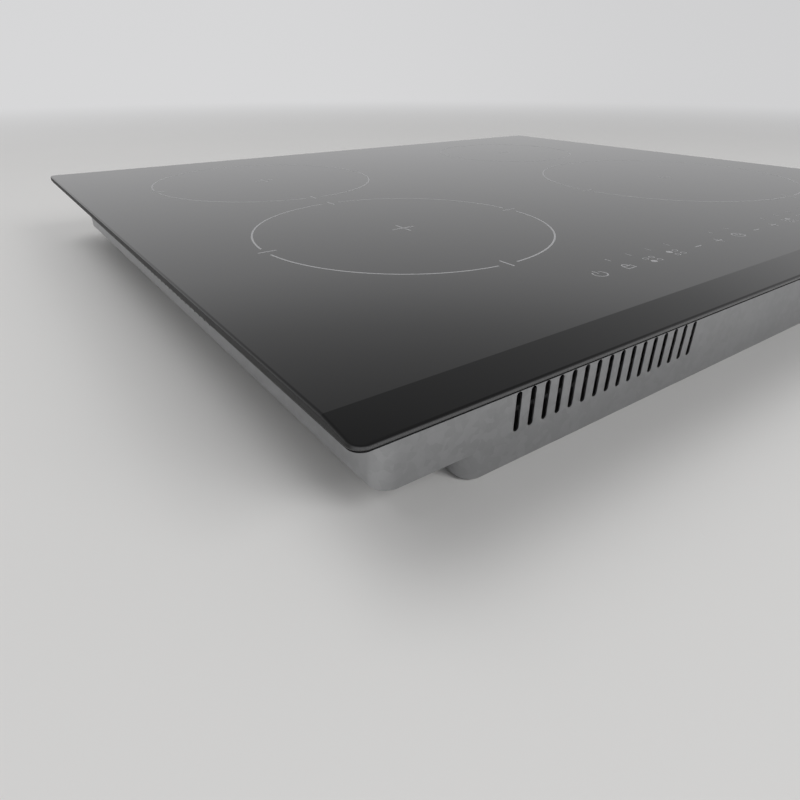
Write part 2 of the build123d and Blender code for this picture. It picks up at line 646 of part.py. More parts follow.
def make_power_switches():
    """Power transistors and a rectifier clamped to the inner side of each heat sink."""
    body_t, body_w, body_h, leg_h = 5.0, 16.0, 17.0, 3.0
    leg_x, leg_y, leg_pitch = 0.8, 1.3, 5.0
    with BuildPart() as switches:
        for _, sign in left_right():
            face_x = sign * (SINK_X - SINK_W / 2 - body_t / 2 - 0.1)
            for y in (-75, -45, -15, 15, 55, 85):
                with BuildSketch(Plane.XY.offset(BOARD_TOP_Z + leg_h)):
                    with Locations((face_x, y)):
                        Rectangle(body_t, body_w)
                extrude(amount=body_h)
                with BuildSketch(Plane.XY.offset(BOARD_TOP_Z)):
                    with Locations(*[(face_x, y + i * leg_pitch) for i in (-1, 0, 1)]):
                        Rectangle(leg_x, leg_y)
                extrude(amount=leg_h)
    save(switches.part, "power_switches")


def make_capacitors():
    """Film capacitors in a row on each power board."""
    x, width, depth, height = 50.0, 34.0, 17.0, 20.0
    rows = (-86, -62, -38, 8, 32, 100)
    with BuildPart() as capacitors:
        with BuildSketch(Plane.XY.offset(BOARD_TOP_Z)):
            with Locations(*[(sign * x, y) for _, sign in left_right() for y in rows]):
                Rectangle(width, depth)
        extrude(amount=height)
        fillet(capacitors.edges().filter_by(Axis.Z), radius=1.2)
    save(capacitors.part, "film_capacitors")


def make_filter():
    """Mains filter board with a ring choke."""
    y, board_w, board_d = 92.0, 36.0, 116.0
    choke_y = 80.0
    with BuildPart() as board:
        with BuildSketch(Plane.XY.offset(BOARD_Z)):
            with Locations((0, y)):
                RectangleRounded(board_w, board_d, 2)
        extrude(amount=BOARD_T)
        with BuildSketch(Plane.XY.offset(FLOOR_Z + 0.1)):
            with Locations((0, y)):
                with GridLocations(board_w - 8, board_d - 8, 2, 2):
                    Circle(3)
        extrude(amount=BOARD_Z - FLOOR_Z - 0.1)
    save(board.part, "filter_board")
    inner_r, outer_r, core_z, core_h = 8.5, 15.5, BOARD_TOP_Z + 2.0, 11.0
    with BuildPart() as core:
        with BuildSketch(Plane.XY.offset(core_z)):
            with Locations((0, choke_y)):
                Circle(outer_r)
                Circle(inner_r, mode=Mode.SUBTRACT)
        extrude(amount=core_h)
        fillet(core.edges(), radius=1)
    save(core.part, "choke_core")
    wire_r, turns, first_turn, turn_pitch = 0.9, 9, 26.0, 16.0
    mid_r = (inner_r + outer_r) / 2
    half_w = (outer_r - inner_r) / 2 + wire_r + 0.1
    half_h = core_h / 2 + wire_r + 0.1
    with BuildPart() as winding:
        for half in (0, 180):
            for i in range(turns):
                turn = half + first_turn + i * turn_pitch
                out = (cos(radians(turn)), sin(radians(turn)), 0)
                centre = (mid_r * out[0], choke_y + mid_r * out[1], core_z + core_h / 2)
                loop = Plane(origin=centre, x_dir=out, z_dir=(-out[1], out[0], 0))
                with BuildSketch(loop.offset(-wire_r)):
                    RectangleRounded(2 * (half_w + wire_r), 2 * (half_h + wire_r), 2.6)
                    RectangleRounded(2 * (half_w - wire_r), 2 * (half_h - wire_r), 0.9, mode=Mode.SUBTRACT)
                extrude(amount=2 * wire_r)
    save(winding.part, "choke_winding")


# ---------------------------------------------------------------- coils and their carriers


def coil_radius(zone):
    return zone / 2 - COIL_MARGIN


def coil_turns(zone):
    return int((coil_radius(zone) - WIRE_R - WIRE_START_R) / WIRE_PITCH)


def coil_plane(name, z):
    """A plane at the coil's centre whose x axis points to where its leads come out."""
    _, (x, y), _, turn = COILS[name]
    return Plane(origin=(x, y, z), x_dir=(cos(radians(turn)), sin(radians(turn)), 0), z_dir=(0, 0, 1))


def coils_on(side):
    return [name for name, coil in COILS.items() if coil[0] == side]


def make_carrier_plates():
    """Sprung aluminium plates that hold the coils against the glass."""
    wide, deep = PLATE_OUTER_X - PLATE_INNER_X, PLATE_REAR_Y - PLATE_FRONT_Y
    sensor_hole_r, air_hole_r, guide_hole_r, lead_slot_w = 10.0, 6.0, 2.0, 6.0
    for side, sign in left_right():
        centre = (sign * (PLATE_OUTER_X + PLATE_INNER_X) / 2, (PLATE_REAR_Y + PLATE_FRONT_Y) / 2)
        with BuildPart() as plate:
            with BuildSketch(Plane.XY.offset(PLATE_Z)):
                with Locations(centre):
                    RectangleRounded(wide, deep, 6)
            extrude(amount=PLATE_T)
            for name in coils_on(side):
                radius = coil_radius(COILS[name][2])
                with BuildSketch(coil_plane(name, PLATE_Z - 1)):
                    Circle(sensor_hole_r)
                    with PolarLocations(radius * AIR_HOLE_PLACE, FERRITE_COUNT, start_angle=FIRST_BAR_TURN):
                        Circle(air_hole_r)
                    with Locations((radius + LEAD_OUT, 0)):
                        SlotOverall(LEAD_SPREAD + 8, lead_slot_w, rotation=90)
                extrude(amount=PLATE_T + 2, mode=Mode.SUBTRACT)
            with BuildSketch(Plane.XY.offset(PLATE_Z - 1)):
                with Locations(*[(x, y) for x, y, _ in spring_post_places(side)]):
                    Circle(guide_hole_r)
            extrude(amount=PLATE_T + 2, mode=Mode.SUBTRACT)
        save(plate.part, f"carrier_plate_{side}")


def make_coil_former(name):
    """Spoked plastic disc with a hub, a rim and walls between the ferrite bars."""
    radius = coil_radius(COILS[name][2])
    hub_hole_r, hub_r, rim_t, wall_t = 12.0, 16.0, 1.4, 1.2
    with BuildPart() as former:
        with BuildSketch(coil_plane(name, PLATE_TOP_Z)):
            Circle(radius + COIL_RIM)
            Circle(hub_hole_r, mode=Mode.SUBTRACT)
            with PolarLocations(radius * AIR_HOLE_PLACE, FERRITE_COUNT, start_angle=FIRST_BAR_TURN):
                Circle(radius * 0.13, mode=Mode.SUBTRACT)
        extrude(amount=FORMER_T)
        with BuildSketch(coil_plane(name, FERRITE_Z)):
            Circle(radius + COIL_RIM)
            Circle(radius + COIL_RIM - rim_t, mode=Mode.SUBTRACT)
            Circle(hub_r)
            Circle(hub_hole_r, mode=Mode.SUBTRACT)
        extrude(amount=FERRITE_T)
        with BuildSketch(coil_plane(name, FERRITE_Z)):
            for i in range(FERRITE_COUNT):
                for edge in (-1, 1):
                    with Locations(Location((0, 0), (i + 0.5) * 360 / FERRITE_COUNT)):
                        with Locations(((radius + FERRITE_START_R) / 2, edge * (FERRITE_W / 2 + 0.9))):
                            Rectangle(radius - FERRITE_START_R + 4, wall_t)
        extrude(amount=FERRITE_T - 0.4)
        with BuildSketch(coil_plane(name, FERRITE_Z)):
            with Locations((radius + COIL_RIM, 0)):
                Rectangle(10, LEAD_SPREAD + 8)
        extrude(amount=FERRITE_T + 1, mode=Mode.SUBTRACT)
    save(former.part, f"coil_former_{name}")


def make_coil_winding(name):
    """Flat spiral of stranded wire, from half circles whose centres change sides at each half turn."""
    half_turns = 2 * coil_turns(COILS[name][2])
    start = coil_plane(name, WINDING_Z)
    with BuildPart() as winding:
        with BuildLine(start):
            for k in range(half_turns):
                shift = (k % 2) * WIRE_PITCH / 2
                CenterArc((shift, 0), WIRE_START_R + k * WIRE_PITCH / 2, 180 * (k % 2), 180)
        wire_end = start.from_local_coords((WIRE_START_R, 0, 0))
        with BuildSketch(Plane(origin=wire_end, x_dir=start.x_dir, z_dir=start.y_dir)):
            RegularPolygon(WIRE_R, WIRE_SIDES, rotation=180 / WIRE_SIDES)
        sweep()
    save(winding.part, f"coil_winding_{name}")


def make_coil_layers(side):
    """What repeats on each coil of one carrier: ferrite bars, insulating mat and sensor."""
    with BuildPart() as ferrites:
        for name in coils_on(side):
            radius = coil_radius(COILS[name][2])
            length = radius - 4 - FERRITE_START_R
            with BuildSketch(coil_plane(name, FERRITE_Z)):
                with PolarLocations(FERRITE_START_R + length / 2, FERRITE_COUNT, start_angle=FIRST_BAR_TURN):
                    Rectangle(length, FERRITE_W)
            extrude(amount=FERRITE_T)
    save(ferrites.part, f"ferrite_bars_{side}")
    with BuildPart() as mats:
        for name in coils_on(side):
            with BuildSketch(coil_plane(name, MAT_Z)):
                Circle(coil_radius(COILS[name][2]) + COIL_RIM)
                Circle(9.0, mode=Mode.SUBTRACT)
            extrude(amount=TOUCH_Z - MAT_Z)
    save(mats.part, f"insulation_mats_{side}")
    foot_z, neck_z, tip_z = PLATE_Z - 1.5, PLATE_Z + 3, TOUCH_Z - 3
    with BuildPart() as sensors:
        for name in coils_on(side):
            for radius, low, high in ((9.6, foot_z, neck_z), (8.0, neck_z, tip_z), (5.0, tip_z, TOUCH_Z)):
                with BuildSketch(coil_plane(name, low)):
                    Circle(radius)
                extrude(amount=high - low)
    save(sensors.part, f"temperature_sensors_{side}")


def spring_post_places(side):
    """(x, y, level of the foot) of each spring post on one side."""
    sign = dict(left_right())[side]
    outer = [(sign * OUTER_POST_X, y, MARGIN_Z + SHEET) for y in OUTER_POST_YS]
    return outer + [(sign * INNER_POST_X, y, FLOOR_Z) for y in INNER_POST_YS]


def make_springs():
    """Posts on the pan and the coil springs that lift each carrier plate."""
    with BuildPart() as posts:
        for x, y, foot in spring_post_places("left") + spring_post_places("right"):
            with BuildSketch(Plane.XY.offset(foot + 0.05)):
                with Locations((x, y)):
                    Circle(POST_R)
            extrude(amount=SEAT_Z - foot - 0.05)
            with BuildSketch(Plane.XY.offset(SEAT_Z)):
                with Locations((x, y)):
                    Circle(SPIGOT_R)
            extrude(amount=SPIGOT_TOP_Z - SEAT_Z)
    save(posts.part, "spring_posts")
    height = PLATE_Z - SEAT_Z - 2 * SPRING_WIRE_R - 0.1
    for side, _ in left_right():
        with BuildPart() as springs:
            for x, y, _ in spring_post_places(side):
                with BuildLine(Plane(origin=(x, y, SEAT_Z + SPRING_WIRE_R + 0.05))) as coil:
                    Helix(pitch=height / SPRING_TURNS, height=height, radius=SPRING_R)
                with BuildSketch(Plane(origin=coil.line @ 0, z_dir=coil.line % 0)):
                    Circle(SPRING_WIRE_R)
                sweep(is_frenet=True)
        save(springs.part, f"carrier_springs_{side}")


# ---------------------------------------------------------------- touch control


def make_control():
    """Touch control under the front of the glass: carrier, board, digit displays and sensor pads."""
    wall, board_z, board_t = 1.6, CONTROL_Z + 2.0, 1.2
    cable_place = (CABLE_X, CONTROL_Y + CABLE_DY)
    flange_edge = -FRAME_D / 2 + FLANGE_W + 0.4
    rear, front = CONTROL_Y + CONTROL_D / 2, CONTROL_Y - CONTROL_D / 2
    with BuildPart() as carrier:
        with BuildSketch(Plane.XY.offset(CONTROL_Z)):
            with Locations((0, CONTROL_Y)):
                RectangleRounded(CONTROL_W, CONTROL_D, 3)
        extrude(amount=FRAME_TOP_Z - FRAME_T - 0.1 - CONTROL_Z)
        with BuildSketch(Plane.XY.offset(FRAME_TOP_Z - FRAME_T - 0.1)):
            with Locations((0, (flange_edge + rear) / 2)):
                Rectangle(CONTROL_W, rear - flange_edge)
        extrude(amount=TOUCH_Z - FRAME_TOP_Z + FRAME_T + 0.1)
        with BuildSketch(Plane.XY.offset(CONTROL_Z + wall)):
            with Locations((0, CONTROL_Y)):
                Rectangle(CONTROL_W - 2 * wall, CONTROL_D - 2 * wall)
        extrude(amount=10, mode=Mode.SUBTRACT)
        with BuildSketch(Plane.XY.offset(CONTROL_Z - 1)):
            with Locations(cable_place):
                Circle(CABLE_R + 0.6)
        extrude(amount=wall + 2, mode=Mode.SUBTRACT)
    save(carrier.part, "control_carrier")
    with BuildPart() as board:
        with BuildSketch(Plane.XY.offset(board_z)):
            with Locations((0, CONTROL_Y + 4)):
                RectangleRounded(CONTROL_W - 8, CONTROL_D - 14, 2)
        extrude(amount=board_t)
        for x in (-140, 0, 140):
            with BuildSketch(Plane.XY.offset(CONTROL_Z + wall)):
                with Locations((x, CONTROL_Y + 4)):
                    Circle(3)
            extrude(amount=board_z - CONTROL_Z - wall)
    save(board.part, "control_board")
    with BuildPart() as displays:
        for x in (-96, -62, 0, 62, 96):
            with BuildSketch(Plane.XY.offset(board_z + board_t)):
                with Locations((x, CONTROL_Y + 14)):
                    Rectangle(13, 9)
            extrude(amount=TOUCH_Z - board_z - board_t)
    save(displays.part, "digit_displays")
    with BuildPart() as pads:
        with BuildSketch(Plane.XY.offset(board_z + board_t)):
            with Locations(*[((i - (KEYS - 1) / 2) * KEY_PITCH, CONTROL_Y + 2) for i in range(KEYS)]):
                Circle(4.5)
        extrude(amount=TOUCH_Z - board_z - board_t)
    save(pads.part, "touch_pads")


# ---------------------------------------------------------------- wiring held inside the box


def wire(points, bend, radius):
    """A round wire along straight runs joined by arcs."""
    with BuildPart() as strand:
        with BuildLine() as route:
            FilletPolyline(*points, radius=bend)
        with BuildSketch(Plane(origin=route.line @ 0, z_dir=route.line % 0)):
            Circle(radius)
        sweep(path=route.line)
    return strand.part


def make_coil_leads(side):
    """Both ends of each winding, led out past its rim and down to the power board."""
    with BuildPart() as leads:
        for name in coils_on(side):
            zone = COILS[name][2]
            plane = coil_plane(name, WINDING_Z)
            end_r = WIRE_START_R + coil_turns(zone) * WIRE_PITCH
            out = coil_radius(zone) + LEAD_OUT
            low = FERRITE_Z + FERRITE_T / 2 - WINDING_Z
            down = LEAD_END_Z - WINDING_Z
            aside = LEAD_SPREAD / 2
            outer = [(end_r, 0.05, 0), (end_r, aside, 0), (out, aside, 0), (out, aside, down)]
            inner = [
                (WIRE_START_R, -0.05, 0),
                (WIRE_START_R, -3.6, 0),
                (WIRE_START_R, -3.6, low),
                (WIRE_START_R + 5, 0, low),
                (out, 0, low),
                (out, 0, down),
            ]
            for route, bend in ((outer, 3.0), (inner, 1.6)):
                add(wire([plane.from_local_coords(point) for point in route], bend, WIRE_R))
    save(leads.part, f"coil_leads_{side}")


def make_lead_terminals():
    """Terminals on the power boards that take the coil leads."""
    with BuildPart() as terminals:
        for name, (_, _, zone, _) in COILS.items():
            with BuildSketch(coil_plane(name, BOARD_TOP_Z)):
                with Locations((coil_radius(zone) + LEAD_OUT, 0)):
                    Rectangle(9, LEAD_SPREAD + 9)
            extrude(amount=LEAD_END_Z - BOARD_TOP_Z)
    save(terminals.part, "lead_terminals")


def make_harness():
    """Mains wires to the filter board, links to the power boards and the control cable."""
    wire_r, start_y = 1.3, TERMINAL_Y - 9.5
    mains_z, link_z, cable_z = 12.0, 16.0, 13.0
    cable_y, cable_end_y = CONTROL_Y + CABLE_DY, -100.0
    with BuildPart() as harness:
        for x in (-5, 0, 5):
            mains = [(x, start_y, CONTACT_Z), (x, 153, CONTACT_Z), (x, 140, mains_z), (x, 128, mains_z)]
            add(wire(mains, 6, wire_r))
        for _, sign in left_right():
            for y in (45, 53):
                near, far = sign * 12, sign * 30
                link = [(near, y, BOARD_TOP_Z), (near, y, link_z), (far, y, link_z), (far, y, BOARD_TOP_Z)]
                add(wire(link, 3, wire_r))
        cable = [
            (CABLE_X, cable_y, CONTROL_Z + 2),
            (CABLE_X, cable_y, cable_z),
            (CABLE_X, cable_end_y, cable_z),
            (CABLE_X, cable_end_y, BOARD_TOP_Z),
        ]
        add(wire(cable, 3, CABLE_R))
    save(harness.part, "wiring_harness")


def main():
    os.makedirs("parts", exist_ok=True)
    make_glass()
    make_seal()
    make_bond()
    make_frame()
    make_side_screws()
    make_pan()
    make_clamps()
    make_clamp_fasteners()
    make_terminal_box()
    make_terminal_cover()
    make_terminal_block()
    make_inlet()
    make_fans()
    make_board_trays()
    make_power_boards()
    make_heat_sinks()
    make_power_switches()
    make_capacitors()
    make_filter()
    make_carrier_plates()
    for name in COILS:
        make_coil_former(name)
        make_coil_winding(name)
    for side, _ in left_right():
        make_coil_layers(side)
        make_coil_leads(side)
    make_springs()
    make_lead_terminals()
    make_control()
    make_harness()


main()
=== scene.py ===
import json
from math import cos, pi, radians, sin

import bmesh
import bpy
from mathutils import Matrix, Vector


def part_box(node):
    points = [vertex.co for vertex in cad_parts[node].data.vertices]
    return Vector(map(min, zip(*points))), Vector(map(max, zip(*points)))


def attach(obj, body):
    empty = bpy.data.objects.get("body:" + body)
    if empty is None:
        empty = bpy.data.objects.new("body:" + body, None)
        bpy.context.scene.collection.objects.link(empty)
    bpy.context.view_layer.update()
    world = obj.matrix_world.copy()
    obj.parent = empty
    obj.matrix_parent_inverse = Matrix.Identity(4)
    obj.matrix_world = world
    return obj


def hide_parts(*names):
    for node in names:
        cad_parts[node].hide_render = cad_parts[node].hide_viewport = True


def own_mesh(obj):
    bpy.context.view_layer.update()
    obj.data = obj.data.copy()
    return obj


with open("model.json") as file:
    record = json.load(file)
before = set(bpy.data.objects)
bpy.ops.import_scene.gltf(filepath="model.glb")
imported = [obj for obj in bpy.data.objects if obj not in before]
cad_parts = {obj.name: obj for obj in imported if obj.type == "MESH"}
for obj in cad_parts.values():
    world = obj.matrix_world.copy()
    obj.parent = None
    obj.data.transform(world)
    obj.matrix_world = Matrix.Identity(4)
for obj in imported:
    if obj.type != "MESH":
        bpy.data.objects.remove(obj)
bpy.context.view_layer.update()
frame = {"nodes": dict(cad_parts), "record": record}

NODES = frame["nodes"]
MM = 1000.0  # millimetres in a metre


# ---------------------------------------------------------------- shader building

class Shade:
    """One procedural material. Textures are read in metres, in the object's own space."""

    def __init__(self, name, color, roughness=0.5, metallic=0.0, ior=1.45,
                 coat=0.0, coat_roughness=0.05, sheen=0.0):
        self.mat = bpy.data.materials.new(name)
        self.mat.use_nodes = True
        self.tree = self.mat.node_tree
        self.bsdf = self.tree.nodes["Principled BSDF"]
        self.set("Base Color", (*color, 1.0))
        self.set("Roughness", roughness)
        self.set("Metallic", metallic)
        self.set("IOR", ior)
        self.set("Coat Weight", coat)
        self.set("Coat Roughness", coat_roughness)
        self.set("Sheen Weight", sheen)
        self.coord = self.node("ShaderNodeTexCoord").outputs["Object"]
        self.mat.diffuse_color = (*color, 1.0)

    def set(self, socket, value):
        self.bsdf.inputs[socket].default_value = value

    def node(self, kind, **values):
        node = self.tree.nodes.new(kind)
        for key, value in values.items():
            setattr(node, key, value)
        return node

    def join(self, source, target):
        if hasattr(source, "is_output"):
            self.tree.links.new(source, target)
        else:
            target.default_value = source

    def stretch(self, x, y, z):
        node = self.node("ShaderNodeMapping")
        self.join(self.coord, node.inputs["Vector"])
        node.inputs["Scale"].default_value = (x, y, z)
        return node.outputs["Vector"]

    def noise(self, scale, detail=3.0, rough=0.5, vector=None, distortion=0.0):
        node = self.node("ShaderNodeTexNoise")
        self.join(vector or self.coord, node.inputs["Vector"])
        node.inputs["Scale"].default_value = scale
        node.inputs["Detail"].default_value = detail
        node.inputs["Roughness"].default_value = rough
        node.inputs["Distortion"].default_value = distortion
        return node.outputs["Fac"]

    def cells(self, scale, vector=None, output="Distance", randomness=1.0):
        node = self.node("ShaderNodeTexVoronoi")
        self.join(vector or self.coord, node.inputs["Vector"])
        node.inputs["Scale"].default_value = scale
        node.inputs["Randomness"].default_value = randomness
        return node.outputs[output]

    def wave(self, scale, direction, vector, distortion, detail_scale):
        node = self.node("ShaderNodeTexWave", bands_direction=direction)
        self.join(vector, node.inputs["Vector"])
        node.inputs["Scale"].default_value = scale
        node.inputs["Distortion"].default_value = distortion
        node.inputs["Detail Scale"].default_value = detail_scale
        return node.outputs["Fac"]

    def math(self, operation, a, b):
        node = self.node("ShaderNodeMath", operation=operation)
        self.join(a, node.inputs[0])
        self.join(b, node.inputs[1])
        return node.outputs[0]

    def remap(self, value, low, high, to_low, to_high, smooth=True):
        node = self.node("ShaderNodeMapRange")
        node.interpolation_type = "SMOOTHSTEP" if smooth else "LINEAR"
        self.join(value, node.inputs["Value"])
        limits = {"From Min": low, "From Max": high, "To Min": to_low, "To Max": to_high}
        for key, number in limits.items():
            node.inputs[key].default_value = number
        return node.outputs["Result"]

    def blend(self, fac, a, b):
        node = self.node("ShaderNodeMix", data_type="RGBA")
        self.join(fac, node.inputs["Factor"])
        self.join(a if hasattr(a, "is_output") else (*a, 1.0), node.inputs["A"])
        self.join(b if hasattr(b, "is_output") else (*b, 1.0), node.inputs["B"])
        return node.outputs["Result"]

    def color(self, source):
        self.join(source, self.bsdf.inputs["Base Color"])

    def roughness(self, source):
        self.join(source, self.bsdf.inputs["Roughness"])

    def bump(self, height, distance, strength):
        node = self.node("ShaderNodeBump")
        node.inputs["Strength"].default_value = strength
        node.inputs["Distance"].default_value = distance
        self.join(height, node.inputs["Height"])
        self.join(node.outputs["Normal"], self.bsdf.inputs["Normal"])

    def axis(self, vector, name):
        node = self.node("ShaderNodeSeparateXYZ")
        self.join(vector, node.inputs[0])
        return node.outputs[name]


def mul(color, k):
    return tuple(c * k for c in color)


def ceramic_glass():
    """Black polished glass. Its edge, known by its slope, is ground; this ground band is painted
    grey in front as a painted highlight, and nearly black at the sides and rear as painted shade.
    """
    black = (0.0018, 0.0018, 0.0019)
    s = Shade("black_glass_ceramic", black, roughness=0.03, ior=1.52)
    normal = s.node("ShaderNodeNewGeometry").outputs["Normal"]
    slope = s.axis(normal, "Z")
    below_top = s.remap(slope, 0.25, 0.60, 1.0, 0.0)
    edge = s.math("MULTIPLY", below_top, s.remap(slope, -0.45, -0.1, 0.0, 1.0))
    # The ground band is grey only where it faces the front, a painted highlight that sits where the
    # highlight line falls; on the other sides it is nearly black, painted shade.
    front = s.remap(s.axis(normal, "Y"), -0.75, -0.35, 1.0, 0.0)
    grind = s.noise(2600, 2, 0.6)
    side_ground_in_shade = s.blend(grind, (0.004, 0.004, 0.0041), (0.008, 0.008, 0.0082))
    front_ground_and_highlight = s.blend(grind, (0.046, 0.046, 0.047), (0.078, 0.078, 0.080))
    s.color(s.blend(edge, black, s.blend(front, side_ground_in_shade, front_ground_and_highlight)))
    smear = s.remap(s.noise(9, 4, 0.6, s.stretch(1.0, 2.4, 1.0)), 0.45, 0.75, 0.018, 0.055)
    wiped = s.remap(s.noise(160, 2, 0.5, s.stretch(1, 0.06, 1)), 0.62, 0.8, 0.0, 0.025)
    polished = s.math("ADD", smear, wiped)
    coarser_side = s.remap(front, 0, 1, 0.34, 0.0, False)
    satin = s.math("ADD", s.remap(grind, 0.3, 0.7, 0.26, 0.36), coarser_side)
    rough = s.node("ShaderNodeMix", data_type="FLOAT")
    s.join(edge, rough.inputs["Factor"])
    s.join(polished, rough.inputs["A"])
    s.join(satin, rough.inputs["B"])
    s.roughness(rough.outputs["Result"])
    s.bump(s.noise(22, 2, 0.4), 0.00004, 0.35)
    return s.mat


def printed_ink():
    """Fired ceramic ink, a light grey with the fine grain of a screen print."""
    s = Shade("printed_ceramic_ink", (0.36, 0.36, 0.37), roughness=0.42, ior=1.5)
    grain = s.noise(3200, 2, 0.6)
    s.color(s.blend(grain, (0.30, 0.30, 0.31), (0.44, 0.44, 0.45)))
    s.roughness(s.remap(grain, 0.3, 0.7, 0.36, 0.5))
    return s.mat


def galvanised(name="galvanised_sheet", tone=0.40):
    """Zinc spangle about 4 mm across, faint rolling lines and a few dull patches."""
    base = (tone, tone * 1.01, tone * 1.03)
    s = Shade(name, base, roughness=0.38, metallic=0.92)
    warp = s.node("ShaderNodeVectorMath", operation="ADD")
    s.join(s.coord, warp.inputs[0])
    jitter = s.node("ShaderNodeVectorMath", operation="SCALE")
    colour_noise = s.node("ShaderNodeTexNoise")
    colour_noise.inputs["Scale"].default_value = 170
    s.join(s.coord, colour_noise.inputs["Vector"])
    s.join(colour_noise.outputs["Color"], jitter.inputs[0])
    jitter.inputs["Scale"].default_value = 0.004
    s.join(jitter.outputs["Vector"], warp.inputs[1])
    spangle = s.axis(s.cells(300, warp.outputs["Vector"], output="Color"), "X")
    fern = s.noise(900, 3, 0.6, s.stretch(1, 0.25, 1))
    shade = s.math("ADD", s.math("MULTIPLY", spangle, 0.72), s.math("MULTIPLY", fern, 0.28))
    s.color(s.blend(shade, mul(base, 0.91), mul(base, 1.09)))
    dull = s.noise(14, 4, 0.6)
    spangle_rough = s.remap(spangle, 0, 1, 0.34, 0.43, False)
    s.roughness(s.math("ADD", spangle_rough, s.remap(dull, 0.5, 0.8, 0.0, 0.14)))
    s.bump(fern, 0.00003, 0.5)
    return s.mat


def plated(name, color, roughness=0.3):
    """Small plated or drawn metal parts: turning lines, blotches of passivation."""
    s = Shade(name, color, roughness=roughness, metallic=1.0)
    blotch = s.noise(120, 4, 0.6)
    lines = s.noise(2500, 2, 0.5, s.stretch(1, 1, 0.08))
    s.color(s.blend(blotch, mul(color, 0.75), mul(color, 1.15)))
    s.roughness(s.remap(lines, 0.25, 0.75, roughness - 0.1, roughness + 0.14))
    s.bump(lines, 0.00002, 0.4)
    return s.mat


def powder_coat(name, color):
    """Satin powder coat with a fine orange peel, dusty in its low spots."""
    s = Shade(name, color, roughness=0.42, ior=1.5, coat=0.15, coat_roughness=0.25)
    peel = s.noise(900, 2, 0.5)
    dust = s.noise(35, 5, 0.65)
    s.color(s.blend(s.remap(dust, 0.48, 0.8, 0.0, 0.3), color, (0.10, 0.098, 0.094)))
    s.roughness(s.remap(dust, 0.4, 0.75, 0.36, 0.55))
    s.bump(peel, 0.00006, 0.5)
    return s.mat


def moulded(name, color, roughness=0.5, grain=1800, depth=0.00004, coat=0.0):
    """Moulded plastic with a spark-eroded grain and a slight cloudiness."""
    s = Shade(name, color, roughness=roughness, ior=1.46, coat=coat)
    cloud = s.noise(25, 3, 0.5)
    fine = s.noise(grain, 2, 0.6)
    s.color(s.blend(cloud, mul(color, 0.86), mul(color, 1.14)))
    s.roughness(s.remap(fine, 0.3, 0.7, roughness - 0.07, roughness + 0.08))
    s.bump(fine, depth, 0.6)
    return s.mat


def foam():
    """Closed-cell foam tape, dusty black, with open pores cut along its sides, painted darker in
    their centres as painted shade.
    """
    color = (0.007, 0.007, 0.0072)
    s = Shade("closed_cell_foam", color, roughness=0.95, ior=1.25)
    pores = s.cells(2600)
    # The pore centres are painted darker: painted shade in the pores.
    s.color(s.blend(s.remap(pores, 0.1, 0.6, 0.0, 1.0), mul(color, 0.5), mul(color, 1.9)))
    s.bump(pores, 0.00012, 0.8)
    return s.mat


def rubber(name, color):
    s = Shade(name, color, roughness=0.55, ior=1.5)
    bloom = s.noise(60, 4, 0.6)
    s.color(s.blend(s.remap(bloom, 0.5, 0.8, 0.0, 1.0), color, mul(color, 2.1)))
    s.roughness(s.remap(bloom, 0.3, 0.7, 0.48, 0.66))
    s.bump(s.noise(1400, 2, 0.5), 0.00003, 0.5)
    return s.mat


def rolled_aluminium(name, color, along):
    """Aluminium with drawing lines along one axis."""
    s = Shade(name, color, roughness=0.34, metallic=1.0)
    stretch = {"X": (0.02, 1, 1), "Y": (1, 0.02, 1), "Z": (1, 1, 0.02)}[along]
    lines = s.noise(2200, 3, 0.6, s.stretch(*stretch))
    haze = s.noise(18, 3, 0.5)
    s.color(s.blend(lines, mul(color, 0.82), mul(color, 1.08)))
    drawn = s.remap(lines, 0.25, 0.75, 0.24, 0.4)
    s.roughness(s.math("ADD", drawn, s.remap(haze, 0.4, 0.8, 0.0, 0.12)))
    s.bump(lines, 0.00002, 0.5)
    return s.mat


def stranded(name, color):
    """Bundle of fine varnished strands: slanting stripes 0.4 mm apart under a clear coat, painted
    darker between the strands as painted shade.
    """
    s = Shade(name, color, roughness=0.3, metallic=0.85, coat=0.6, coat_roughness=0.12)
    slant = s.node("ShaderNodeMapping")
    s.join(s.coord, slant.inputs["Vector"])
    slant.inputs["Rotation"].default_value = (0.5, 0.3, 0.8)
    strands = s.wave(820, "DIAGONAL", slant.outputs["Vector"], 1.5, 3.0)
    # The stripes are painted darker between the strands: painted shade in the grooves.
    s.color(s.blend(strands, mul(color, 0.45), mul(color, 1.25)))
    s.roughness(s.remap(strands, 0, 1, 0.42, 0.26, False))
    s.bump(strands, 0.00012, 0.8)
    return s.mat


def laminate():
    """Green solder mask over right-angled copper tracks, with tinned pads."""
    green = (0.012, 0.10, 0.04)
    s = Shade("circuit_laminate", green, roughness=0.3, ior=1.5, coat=0.3)
    tracks = s.node("ShaderNodeTexBrick")
    s.join(s.coord, tracks.inputs["Vector"])
    tracks.inputs["Scale"].default_value = 130
    tracks.inputs["Mortar Size"].default_value = 0.12
    tracks.offset = 0.37
    pads = s.remap(s.cells(210, randomness=0.55), 0.10, 0.13, 1.0, 0.0)
    masked = s.blend(tracks.outputs["Fac"], mul(green, 1.7), green)
    s.color(s.blend(pads, masked, (0.62, 0.61, 0.56)))
    s.roughness(s.remap(pads, 0, 1, 0.3, 0.24, False))
    s.bump(tracks.outputs["Fac"], 0.00003, 0.5)
    return s.mat


def felt():
    """Pressed ceramic fibre mat."""
    color = (0.66, 0.65, 0.61)
    s = Shade("fibre_mat", color, roughness=0.9, sheen=0.3)
    fibre = s.noise(1500, 5, 0.7, s.stretch(1, 0.3, 1), 1.5)
    s.color(s.blend(fibre, mul(color, 0.75), mul(color, 1.12)))
    s.bump(fibre, 0.0003, 0.8)
    return s.mat


